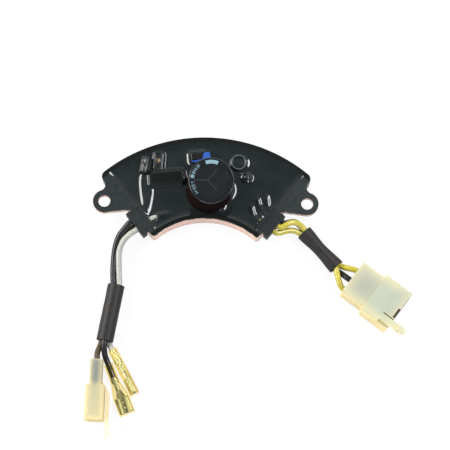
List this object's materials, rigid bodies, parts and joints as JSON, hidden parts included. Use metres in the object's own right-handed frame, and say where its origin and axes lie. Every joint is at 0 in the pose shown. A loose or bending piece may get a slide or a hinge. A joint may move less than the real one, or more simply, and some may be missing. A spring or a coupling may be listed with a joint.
{
  "type": "automatic voltage regulator",
  "caption": "Arc-shaped potted voltage regulator of a small generator: black tray with mounting ears, glossy resin over its components, and short looms ending in spade and nylon connectors.",
  "frame": {"origin": "on the back face, midway between the mounting holes", "axes": "+X along the line of the mounting holes, +Y towards the outer arc, +Z out of the resin, along the holes"},
  "size_m": [0.1733, 0.1643, 0.035],
  "materials": {
    "tray": "moulded satin",
    "board": "lacquered laminate",
    "resin": "glossy poured resin",
    "bare_aluminium": "drawn",
    "shrink_sleeve": "shrunk film",
    "trimmer_blue": "moulded",
    "screw_brass": "turned",
    "component_epoxy": "moulded epoxy",
    "resistor_coat": "lacquered",
    "lead_block": "moulded matt",
    "black_wire": "extruded vinyl",
    "white_wire": "extruded vinyl",
    "brown_wire": "extruded vinyl",
    "yellow_wire": "extruded vinyl",
    "loom_sleeve": "extruded vinyl",
    "tin": "tinned",
    "clear_vinyl": "clear vinyl",
    "nylon": "natural nylon"
  },
  "bodies": {
    "root": {"case": "tray", "circuit_board": "board", "potting_compound": "resin", "main_capacitor_can": "bare_aluminium", "main_capacitor_sleeve": "shrink_sleeve", "small_capacitor_can": "bare_aluminium", "small_capacitor_sleeve": "shrink_sleeve", "trimmer_body": "trimmer_blue", "trimmer_screw": "screw_brass", "bridge_rectifier": "component_epoxy", "film_capacitor": "component_epoxy", "dropper_resistor": "resistor_coat", "driver_transistor": "component_epoxy", "power_transistor": "component_epoxy", "flyback_diode": "component_epoxy", "board_resistors": "resistor_coat", "left_lead_block": "lead_block", "right_lead_block": "lead_block", "left_wire_tails": "black_wire", "right_wire_tails": "yellow_wire", "left_black_wire": "black_wire", "left_white_wire": "white_wire", "left_brown_wire": "brown_wire", "left_loom_sleeve": "loom_sleeve", "flat_spade_terminal": "tin", "flat_spade_boot": "clear_vinyl", "edge_spade_terminal": "tin", "edge_spade_boot": "clear_vinyl", "one_way_housing": "nylon", "one_way_blade": "tin", "right_black_wire": "black_wire", "right_upper_yellow_wire": "yellow_wire", "right_lower_yellow_wire": "yellow_wire", "right_loom_sleeve": "loom_sleeve", "six_way_housing": "nylon", "upper_six_way_blade": "tin", "middle_six_way_blade": "tin", "lower_six_way_blade": "tin"}
  },
  "joints": []
}
